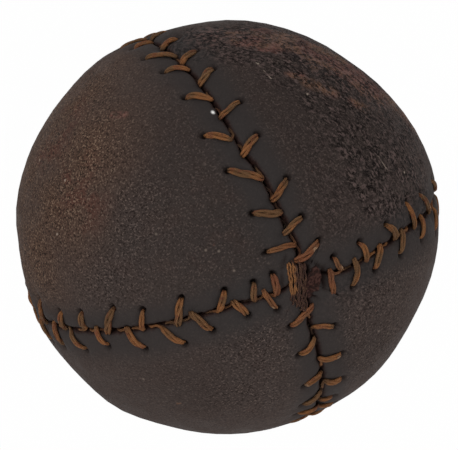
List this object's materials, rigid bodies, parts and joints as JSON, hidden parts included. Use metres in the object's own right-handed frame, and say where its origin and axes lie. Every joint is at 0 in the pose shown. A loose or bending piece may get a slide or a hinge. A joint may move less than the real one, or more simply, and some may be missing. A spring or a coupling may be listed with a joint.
{
  "type": "hand-sewn baseball",
  "caption": "Solid wound ball in a one-piece leather cover, closed by four hand-sewn seams that meet at one point.",
  "frame": {"origin": "the ball's centre", "axes": "+Z from the centre through the crossing where the four seams meet; the closed side of the cover, which has no seam, is at -Z; the back seam runs down towards +Y"},
  "size_m": [0.0722, 0.0722, 0.0709],
  "materials": {
    "rubber": "matte",
    "wool": "matte",
    "twine": "matte",
    "cover_leather": "matte",
    "seam_thread": "matte",
    "lashing_thread": "matte"
  },
  "bodies": {
    "root": {"rubber_core": "rubber", "wool_winding": "wool", "twine_winding": "twine", "leather_cover": "cover_leather", "seam_thread_back": "seam_thread", "seam_thread_left": "seam_thread", "seam_thread_front": "seam_thread", "seam_thread_right": "seam_thread", "crossing_lashing": "lashing_thread"}
  },
  "joints": []
}
